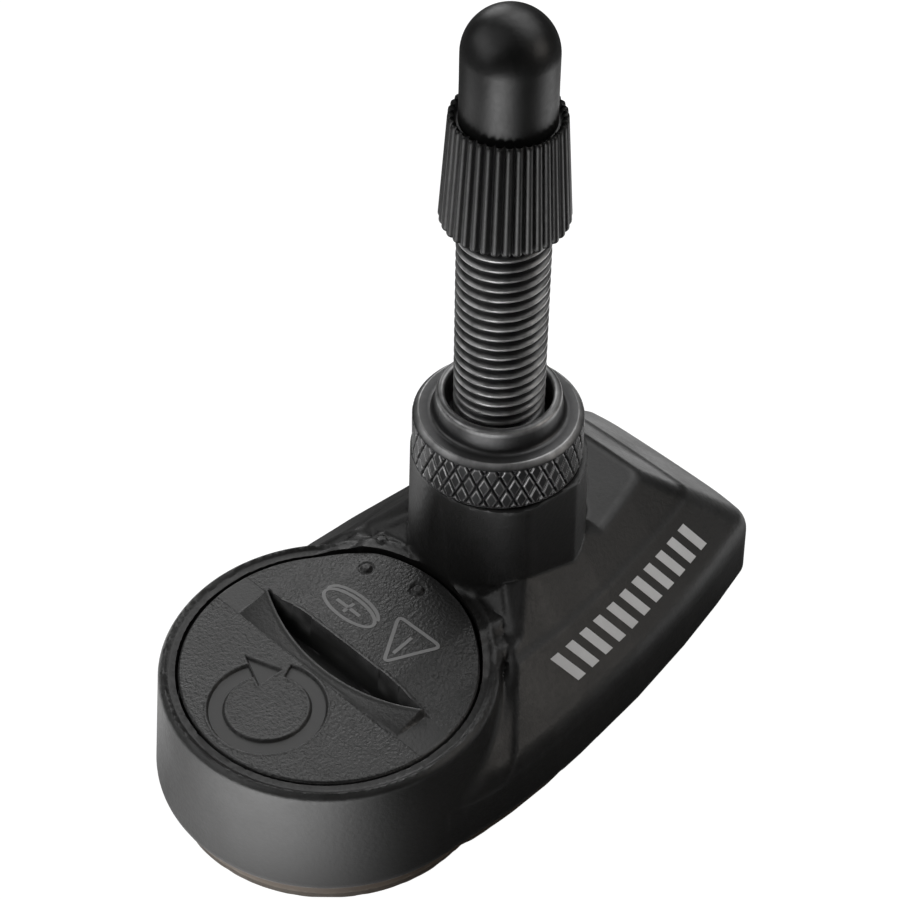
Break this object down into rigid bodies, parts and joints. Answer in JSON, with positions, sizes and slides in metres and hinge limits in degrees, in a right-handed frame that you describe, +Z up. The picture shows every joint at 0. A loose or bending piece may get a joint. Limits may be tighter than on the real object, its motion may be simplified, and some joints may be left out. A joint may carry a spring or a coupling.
{
  "type": "tyre pressure sensor",
  "caption": "Bicycle tyre-pressure sensor: boot-shaped black housing with a coin-cell cover and a tapering wing, on a threaded valve stem with a knurled lock ring and a domed cap.",
  "frame": {"origin": "middle of the outline, at the underside of the base gasket", "axes": "+Z up along the valve stem, +X from the battery cover towards the wing"},
  "size_m": [0.0464, 0.0246, 0.0545],
  "materials": {
    "housing": "satin moulded nylon",
    "cover": "fine moulded grain",
    "base": "matte",
    "rubber": "matte",
    "stem": "dark anodised",
    "ring": "dark anodised",
    "cap": "semi-gloss",
    "cell": "satin",
    "bright": "tinned",
    "brass": "machined",
    "board": "laminate",
    "chip": "matte",
    "ceramic": "matte"
  },
  "bodies": {
    "housing": {"housing": "housing", "base_plate": "base", "base_gasket": "rubber", "coin_cell": "cell", "battery_positive_contact": "bright", "battery_negative_contact": "bright", "circuit_board": "board", "radio_chip": "chip", "crystal": "bright", "board_capacitor": "ceramic", "antenna": "bright", "pressure_sensor": "bright", "sensor_seal": "rubber", "valve_stem": "stem", "stem_seal_lower": "rubber", "stem_seal_upper": "rubber", "wheel_valve_seal": "rubber", "core_body": "brass", "core_spring": "bright", "base_screw_1": "bright", "base_screw_2": "bright", "base_screw_3": "bright", "base_screw_4": "bright", "board_screw_1": "bright", "board_screw_2": "bright"},
    "battery_cover": {"battery_cover": "cover", "cover_seal": "rubber"},
    "lock_ring": {"lock_ring": "ring"},
    "valve_cap": {"valve_cap": "cap"},
    "core_pin": {"core_pin": "brass", "core_seal": "rubber"},
    "core_lock_nut": {"core_lock_nut": "brass"}
  },
  "joints": [
    {"name": "battery_cover_turn", "type": "hinge", "parent": "housing", "child": "battery_cover", "pos_m": [-0.01115, 0, 0.0105], "axis": [0, 0, 1], "range_deg": [0, 28]},
    {"name": "lock_ring_turn", "type": "hinge", "parent": "housing", "child": "lock_ring", "pos_m": [0.0044, 0, 0.0215], "axis": [0, 0, 1], "range_deg": [0, 1440]},
    {"name": "valve_cap_lift", "type": "slide", "parent": "housing", "child": "valve_cap", "axis": [0, 0, 1], "range_m": [0, 0.014]},
    {"name": "core_pin_press", "type": "slide", "parent": "housing", "child": "core_pin", "axis": [0, 0, -1], "range_m": [0, 0.001], "stiffness_N_per_m": 300, "springref_m": -0.002, "deforming": ["core_spring"]},
    {"name": "core_lock_nut_turn", "type": "hinge", "parent": "core_pin", "child": "core_lock_nut", "pos_m": [0.0044, 0, 0.049], "axis": [0, 0, 1], "range_deg": [0, 900]}
  ]
}
